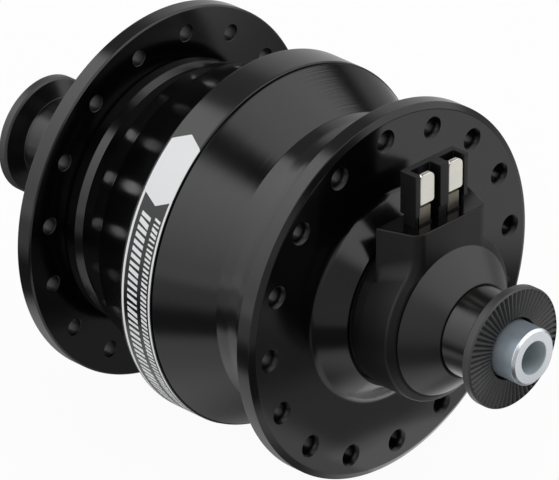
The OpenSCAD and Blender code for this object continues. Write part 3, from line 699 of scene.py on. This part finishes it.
def loftHousing():
    back, front, edge = connector["back"], connector["front"], connector["topEdge"]
    wide, barrel, rim = connector["backHalf"], connector["barrelRadius"], connector["coneEnd"]
    corner = roundCorner(Vector((0, front)), Vector((connector["frontHalf"], front)), Vector((wide, back)),
                         connector["frontCorner"])
    shoulder = roundCorner(Vector((barrel, back)), Vector((barrel, connector["coneStart"])),
                           Vector((connector["coneRadius"], rim)), connector["shoulder"])
    halves = [(wide, back)] + [(spot.x, spot.y) for spot in reversed(corner)]
    radii = [(barrel, back)] + [(spot.x, spot.y) for spot in shoulder] + [(connector["coneRadius"], rim)]
    cuts = [(back - deep, wide - narrower, barrel - smaller)
            for deep, narrower, smaller in connector["backEdge"]]
    leastStep = 0.015
    for place in sorted([*connector["cuts"], *(p for size, p in radii[1:] + halves[1:])], reverse=True):
        if cuts[-1][0] - place > leastStep:
            radius = readAlong(radii, place) if place >= rim else connector["hiddenRadius"]
            cuts.append((place, readAlong(halves, place), radius))
    rings = []
    for place, half, radius in cuts:
        near = max(0.0, edge - (place - front), edge - (back - place))
        top = connector["platform"] - edge + math.sqrt(max(0.0, edge ** 2 - near ** 2))
        rings.append((place, housingSlice(radius, half, top, edge)))
    shape = [math.atan2(z, x) for x, z in rings[0][1]]
    for place, radius in connector["backRing"]:
        rings.insert(0, (place, [(radius * math.cos(a), radius * math.sin(a)) for a in shape]))
    bore = connector["boreRadius"]
    ends = []
    for place, half in (rings[0], rings[-1]):
        angles = [math.atan2(z, x) for x, z in half]
        ends.append((place, [(bore * math.cos(a), bore * math.sin(a)) for a in angles]))
    build = bmesh.new()
    loops = []
    for place, half in [ends[0]] + rings + [ends[1]]:
        middle = (0.0, max(half[-1][1], bore))
        whole = half + [middle] + [(-x, z) for x, z in reversed(half[1:])]
        loops.append([build.verts.new((x * mm, place * mm, z * mm)) for x, z in whole])
    for i, loop in enumerate(loops):
        following = loops[(i + 1) % len(loops)]
        for k in range(len(loop)):
            build.faces.new((loop[k - 1], loop[k], following[k], following[k - 1]))
    bmesh.ops.recalc_face_normals(build, faces=build.faces)
    glossLevel, leastUpward = (connector["platform"] - 0.1) * mm, 0.95
    for face in build.faces:
        onTop = face.calc_center_median().z > glossLevel
        face.material_index = int(face.normal.z > leastUpward and onTop)
    return softEdges(objectFrom("terminalHousing", build, ["housingPlastic", "housingGloss"]))


housing = loftHousing()
keep(housing, "axle_unit", "housing_plastic", "terminal_housing")


def combOutline(inset):  # the terminal block seen from above: a back wall and three prongs
    left, right = connector["towerLeft"] + inset, connector["towerRight"] - inset
    front, back = connector["towerFront"] + inset, connector["towerBack"] - inset
    deep = connector["slotBack"]
    made = [(left, front)]
    for a, b in connector["slots"]:
        made += [(a, front), (a, deep), (b, deep), (b, front)]
    return [Vector(p) for p in made + [(right, front), (right, back), (left, back)]]


tower = prism("terminalBlock", combOutline(0.0), connector["footTop"], connector["towerTop"],
              ["housingPlastic"])
foot = prism("terminalFoot", combOutline(connector["footInset"]),
             connector["platform"] - connector["footSink"], connector["footTop"] + connector["footLap"],
             ["housingPlastic"])
joinSolids(tower, foot)
softEdges(tower, connector["towerEdge"])
keep(tower, "axle_unit", "housing_plastic", "terminal_block")

stemFront, contactBack = connector["stemFront"], connector["contactBack"]
top, low = connector["contactTop"], connector["contactFoot"]
for side, (left, right) in zip(("live", "return"), connector["contactSides"]):
    face = flatOutline((left, low, 0.2), (right, low, 0.55), (right, top, 1.1), (left, top, 0.9))
    plate = prism(side + "Contact", face, connector["contactFront"], contactBack,
                  ["contactNickel", "contactFoot"], toward="Y")
    softEdges(plate, connector["contactEdge"])
    start, crease = left + connector["stemInset"], low - connector["crease"]
    finish = start + connector["stemWidth"]
    # the stem and bend take the darker contactFoot finish: painted shade under the plate
    stem = prism(side + "Stem", rectangle(start, connector["stemBottom"], finish, crease),
                 stemFront, contactBack - connector["stemShort"], ["contactFoot"], toward="Y")
    inset, lap = connector["bendInset"], connector["bendLap"]
    bend = prism(side + "Bend", rectangle(start + inset, crease - lap, finish - inset, low + lap),
                 stemFront + connector["bendFront"], contactBack - connector["bendShort"],
                 ["contactFoot"], toward="Y")
    joinSolids(plate, stem, bend)
    keep(plate, "axle_unit", "contact_nickel", side + "_contact")
    wall = connector["collarWall"]
    foot = rectangle(start - wall, stemFront - connector["collarFront"], finish + wall, contactBack)
    collar = prism(side + "Collar", foot, connector["platform"] - connector["collarSink"],
                   connector["platform"] + connector["collarTop"], ["housingPlastic"])
    keep(collar, "axle_unit", "housing_plastic")
print("connector made")


# white print on the smooth band: a plain tab, two border lines and two rows of plain marks

label = {
    "radius": hub["bandRadius"], "lift": 0.015, "sink": 0.05, "left": 2.95, "right": -2.92,
    "leftLine": 0.42, "rightLine": 0.34, "lineStart": -56.0, "lineEnd": -150.0,
    "tab": ((-35.4, 0.15), (-38.8, 2.95), (-56.0, 2.95), (-59.2, -0.2), (-56.4, -2.92), (-38.7, -2.92)),
    "markStart": -63.0, "markEnd": -148.0, "markSink": 0.03, "slant": 0.3,
    # each row of marks: place and height along the axle, count, width, change of width and seed
    "rows": {"labelBoldMarks": (0.75, 2.0, 40, 0.62, 0.35, 5),
             "labelFineMarks": (-1.65, 1.2, 56, 0.42, 0.3, 9)}}


def bandPatch(name, spans):  # a thin raised film; each span is an angle and the two ends of the film at it
    build = bmesh.new()
    columns = []
    for angle, a, b in spans:
        turn = math.radians(angle)
        column = []
        for radius in (label["radius"] + label["lift"], label["radius"] - label["sink"]):
            column += [build.verts.new(aroundAxle(radius, turn, place)) for place in (a, b)]
        columns.append(column)
    for here, there in zip(columns, columns[1:]):
        for i, j in ((0, 1), (1, 3), (3, 2), (2, 0)):
            build.faces.new((here[i], here[j], there[j], there[i]))
    for column in (columns[0], columns[-1]):
        build.faces.new((column[0], column[1], column[3], column[2]))
    return objectFrom(name, build, ["printInk"])


def tabSpans():  # the tab cut at each half degree
    corners = label["tab"]
    angles = [c[0] for c in corners]
    made = []
    steps = 48
    first, last = max(angles) - 0.05, min(angles) + 0.05
    for i in range(steps + 1):
        angle = first + (last - first) * i / steps
        hits = []
        for (a, p), (b, q) in zip(corners, corners[1:] + corners[:1]):
            if (a - angle) * (b - angle) <= 0 and a != b:
                hits.append(p + (q - p) * (angle - a) / (b - a))
        made.append((angle, max(hits), min(hits)))
    return made


def lineSpans(a, b):
    first, last = label["lineStart"], label["lineEnd"]
    steps = 96
    return [(first + (last - first) * i / steps, a, b) for i in range(steps + 1)]


def printMarksTree():
    tree, into, out = newGeometryTree("printMarks", {
        "Mark Count": 12, "Radius": 0.02915, "First Angle": 0.0, "Last Angle": -1.0, "Row Place": 0.0,
        "Row Height": 0.002, "Mark Width": 0.001, "Width Change": 0.5, "Slant": 0.3, "Seed": 3,
        "Finish": None})
    size = into.outputs
    thick = 0.1 * mm
    index = addNode(tree, "GeometryNodeInputIndex").outputs[0]
    share = mathNode(tree, "DIVIDE", index, minus(tree, size["Mark Count"], 1))
    span = minus(tree, size["Last Angle"], size["First Angle"])
    angle = plus(tree, size["First Angle"], times(tree, span, share))
    mark = addNode(tree, "GeometryNodeMeshCube")
    mark.inputs["Size"].default_value = (1.0, 1.0, 1.0)
    x, y, z = cornerPlaces(tree)
    skew = times(tree, times(tree, y, size["Slant"]), size["Row Height"])
    shape = reshaped(tree, mark.outputs["Mesh"], plus(tree, times(tree, x, size["Mark Width"]), skew),
                     times(tree, y, size["Row Height"]), times(tree, z, thick))
    change = addNode(tree, "FunctionNodeRandomValue", data_type="FLOAT")
    tree.links.new(minus(tree, 1.0, size["Width Change"]), change.inputs[2])
    tree.links.new(plus(tree, 1.0, size["Width Change"]), change.inputs[3])
    tree.links.new(size["Seed"], change.inputs["Seed"])
    spread = addNode(tree, "GeometryNodeInstanceOnPoints")
    points = pointsRound(tree, size["Mark Count"], size["Radius"], size["Row Place"], angle)
    tree.links.new(points, spread.inputs["Points"])
    tree.links.new(shape, spread.inputs["Instance"])
    tree.links.new(vectorOf(tree, 0.0, angle, 0.0), spread.inputs["Rotation"])
    tree.links.new(vectorOf(tree, change.outputs[1], 1.0, 1.0), spread.inputs["Scale"])
    real = addNode(tree, "GeometryNodeRealizeInstances")
    tree.links.new(spread.outputs[0], real.inputs[0])
    dress = addNode(tree, "GeometryNodeSetMaterial")
    tree.links.new(real.outputs[0], dress.inputs["Geometry"])
    tree.links.new(into.outputs["Finish"], dress.inputs["Material"])
    tree.links.new(dress.outputs[0], out.inputs[0])
    return tree


printMarks = printMarksTree()
films = [bandPatch("labelTab", tabSpans()),
         bandPatch("labelLeftLine", lineSpans(label["left"], label["left"] - label["leftLine"])),
         bandPatch("labelRightLine", lineSpans(label["right"] + label["rightLine"], label["right"]))]
for name, (place, tall, count, width, change, seed) in label["rows"].items():
    row = makeObject(name, bpy.data.meshes.new(name), ["printInk"])
    applyTree(row, printMarks, {
        "Mark Count": count, "Radius": (label["radius"] - label["markSink"]) * mm,
        "First Angle": math.radians(label["markStart"]), "Last Angle": math.radians(label["markEnd"]),
        "Row Place": place * mm, "Row Height": tall * mm, "Mark Width": width * mm, "Width Change": change,
        "Slant": label["slant"], "Seed": seed, "Finish": finishes["printInk"]})
    films.append(row)
for film in films:
    keep(film, "shell", "shell_black")
print("print on the band made")


# finishes of the solids that stay as they are
carried = {
    "sealRubber": ["right_dust_seal", "left_dust_seal", "right_shields", "left_shields"],
    "sleeveSteel": ["right_spacer", "left_spacer", "right_collar", "left_collar"],
    "poleIron": ["core_sleeve", "left_claw_pole", "right_claw_pole", "back_iron_ring"],
    "magnetGrey": ["magnets_north", "magnets_south"],
    "bobbinPlastic": ["coil_bobbin"],
    "copperWire": ["coil_winding"],
    "leadRed": ["live_lead"],
    "leadBlack": ["return_lead"],
    "bearingSteel": ["right_inner_race", "left_inner_race", "right_outer_race", "left_outer_race",
                     "right_balls", "left_balls"],
    "cagePlastic": ["right_cage", "left_cage"],
}
for finish, members in carried.items():
    for member in members:
        nodes[member].data.materials.clear()
        nodes[member].data.materials.append(finishes[finish])
print("carried solids finished")


# floor, world, lamps and camera

studio = {
    "floorSize": 4.0, "floorGrey": 0.9, "floorGlow": 0.95, "dimFloor": 0.06, "dimRoom": 0.05,
    "worldDiffuse": 0.5,
    # painted light on the floor, seen only in reflections: middle and half-width round the hub in degrees,
    # soft edge, near and far ends, their soft edges, level
    "paintedFloorLight": [(0, 400, 1, -0.1, 0.056, 0.01, 0.006, 0.85), (143, 22, 5, 0.084, 0.23, 0.01, 0.02, 0.9),
                     (-155, 27, 6, 0.1, 9.0, 0.008, 0.1, 0.45), (168, 20, 5, 0.057, 0.084, 0.004, 0.01, 0.3),
                     (100, 30, 6, 0.06, 9.0, 0.01, 0.1, 0.3), (165, 25, 5, 0.02, 0.036, 0.004, 0.003, 1.3),
                     (-58, 72, 6, 0.095, 9.0, 0.02, 0.1, 0.6), (-58, 72, 6, 0.2, 9.0, 0.1, 0.1, 1.2),
                     (46, 19, 8, 0.09, 9.0, 0.02, 0.1, 0.66), (78, 18, 6, 0.09, 9.0, 0.02, 0.1, 0.3)],
    # painted shadow under the hub, seen only in reflections: its two sides, soft edge, ends along the axle,
    # and strength
    "paintedFloorShadows": [(-0.021, 0.023, 0.009, -0.018, 0.058, 0.75), (-0.002, 0.02, 0.003, -0.072, -0.033, 0.62),
               (-0.034, -0.012, 0.006, -0.034, -0.018, 0.75)],
    # light panels in reflections: middle and half-width round the hub in degrees, soft edge, low and high
    # ends, their soft edges, level, and its rise with height
    "panels": [(-62, 69, 6, -20, 57, 5, 4, 1.1, 0.024), (147, 63, 5, 24, 84, 5, 6, 1.65, 0.0),
               (121, 29, 5, 0, 30, 4, 5, 1.3, 0.0), (46, 19, 8, -25, 36, 8, 10, 0.68, 0.0),
               (78, 18, 6, -25, 14, 5, 8, 0.3, 0.0), (20, 20, 6, 30, 60, 8, 8, 0.25, 0.0),
               (-155, 27, 6, -25, 30, 6, 8, 0.45, 0.0), (-168, 16, 5, -12, 25, 6, 8, 0.6, 0.0)],
    # each lamp: name, place, size and power
    "lamps": [("overhead", (0.25, -0.3, 0.8), 0.6, 2.4), ("side", (-0.8, 0.15, 0.4), 0.6, 1.8)],
    "sensor": 36.0, "lens": 515.2, "clipEnd": 20.0, "cameraPlace": (-0.76489, -0.74902, 0.56931),
    "cameraToward": (0.63138, 0.61699, -0.46978)}


def backgroundRay(tree):  # 1 where the camera, or a reflection, or glass looks at the backdrop
    path = addNode(tree, "ShaderNodeLightPath").outputs
    either = mathNode(tree, "MAXIMUM", path["Is Camera Ray"], path["Is Glossy Ray"])
    return mathNode(tree, "MAXIMUM", either, path["Is Transmission Ray"])


def whiteToCamera(tree, level):  # the camera sees plain white, and reflections see the level
    seen = addNode(tree, "ShaderNodeLightPath").outputs["Is Camera Ray"]
    return plus(tree, seen, times(tree, minus(tree, 1.0, seen), level))


def smoothStep(tree, value, start, end):  # 0 before the start, 1 past the end
    node = addNode(tree, "ShaderNodeMapRange", interpolation_type="SMOOTHSTEP")
    node.inputs["From Min"].default_value = start
    node.inputs["From Max"].default_value = end
    tree.links.new(value, node.inputs["Value"])
    return node.outputs["Result"]


def between(tree, value, low, high, softLow, softHigh):
    rise = smoothStep(tree, value, low - softLow, low + softLow)
    fall = smoothStep(tree, value, high + softHigh, high - softHigh)
    return times(tree, rise, fall)


def bearing(tree, x, y, middle):  # degrees round the hub, seen from above, from a middle direction
    c = math.cos(math.radians(middle))
    s = math.sin(math.radians(middle))
    ahead = plus(tree, times(tree, x, s), times(tree, y, c))
    aside = minus(tree, times(tree, x, c), times(tree, y, s))
    return times(tree, mathNode(tree, "ARCTAN2", aside, ahead), 180 / math.pi)


def paleFloor():
    finish = bpy.data.materials.new("paleFloor")
    finish.use_nodes = True
    tree = finish.node_tree
    tree.nodes.remove(tree.nodes["Principled BSDF"])
    matte = addNode(tree, "ShaderNodeBsdfDiffuse")
    matte.inputs["Color"].default_value = (*[studio["floorGrey"]] * 3, 1)
    x, y, z = partsOf(tree, addNode(tree, "ShaderNodeTexCoord").outputs["Object"])
    away = mathNode(tree, "SQRT", plus(tree, times(tree, x, x), times(tree, y, y)))
    # the floor's glow in reflections: painted light in patches, darkened by painted shadow under the hub; the
    # camera still sees plain white
    lit = studio["dimFloor"]
    for middle, half, softSide, near, far, softNear, softFar, level in studio["paintedFloorLight"]:
        mask = times(tree, between(tree, away, near, far, softNear, softFar),
                     between(tree, bearing(tree, x, y, middle), -half, half, softSide, softSide))
        lit = mathNode(tree, "MAXIMUM", lit, times(tree, mask, level))
    for start, end, soft, low, high, depth in studio["paintedFloorShadows"]:
        mask = times(tree, between(tree, x, start, end, soft, soft), between(tree, y, low, high, soft, soft))
        lit = times(tree, lit, minus(tree, 1.0, times(tree, mask, depth)))
    glow = addNode(tree, "ShaderNodeEmission")
    tree.links.new(whiteToCamera(tree, lit), glow.inputs["Strength"])
    blend = addNode(tree, "ShaderNodeMixShader")
    tree.links.new(times(tree, backgroundRay(tree), studio["floorGlow"]), blend.inputs["Fac"])
    tree.links.new(matte.outputs[0], blend.inputs[1])
    tree.links.new(glow.outputs[0], blend.inputs[2])
    tree.links.new(blend.outputs[0], tree.nodes["Material Output"].inputs["Surface"])
    return finish


reach, floorLevel = studio["floorSize"], -hub["flangeRadius"] * mm
floorMesh = bpy.data.meshes.new("floor")
floorMesh.from_pydata([(x * reach, y * reach, floorLevel) for x, y in ((-1, -1), (1, -1), (1, 1), (-1, 1))],
                      [], [(0, 1, 2, 3)])
floorMesh.materials.append(paleFloor())
floor = bpy.data.objects.new("floor", floorMesh)
bpy.context.scene.collection.objects.link(floor)
floor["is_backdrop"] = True

world = bpy.data.worlds.new("studioWorld")
bpy.context.scene.world = world
world.use_nodes = True
sky = world.node_tree
background = sky.nodes["Background"]
background.inputs["Color"].default_value = (1, 1, 1, 1)
x, y, z = partsOf(sky, addNode(sky, "ShaderNodeTexCoord").outputs["Generated"])
climb = times(sky, mathNode(sky, "ARCSINE", z), 180 / math.pi)
glossy = studio["dimRoom"]
for middle, half, softSide, bottom, top, softLow, softHigh, level, rise in studio["panels"]:
    mask = times(sky, between(sky, bearing(sky, x, y, middle), -half, half, softSide, softSide),
                 between(sky, climb, bottom, top, softLow, softHigh))
    bright = plus(sky, level, times(sky, climb, rise))
    glossy = mathNode(sky, "MAXIMUM", glossy, times(sky, mask, bright))
backdrop = minus(sky, whiteToCamera(sky, glossy), studio["worldDiffuse"])
strength = plus(sky, studio["worldDiffuse"], times(sky, backgroundRay(sky), backdrop))
sky.links.new(strength, background.inputs["Strength"])

for name, spot, size, power in studio["lamps"]:
    lamp = bpy.data.lights.new(name, "AREA")
    lamp.shape = "SQUARE"
    lamp.size = size
    lamp.energy = power
    holder = bpy.data.objects.new(name, lamp)
    holder.location = spot
    holder.rotation_euler = (-Vector(spot)).to_track_quat("-Z", "Y").to_euler()
    holder.visible_glossy = False
    bpy.context.scene.collection.objects.link(holder)

cameraData = bpy.data.cameras.new("camera")
cameraData.sensor_width = studio["sensor"]
cameraData.lens = studio["lens"]
cameraData.clip_end = studio["clipEnd"]
camera = bpy.data.objects.new("camera", cameraData)
camera.location = studio["cameraPlace"]
camera.rotation_euler = Vector(studio["cameraToward"]).to_track_quat("-Z", "Y").to_euler()
bpy.context.scene.collection.objects.link(camera)
bpy.context.scene.camera = camera
bpy.context.scene.view_settings.view_transform = "Standard"
print("studio ready")

low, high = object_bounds()
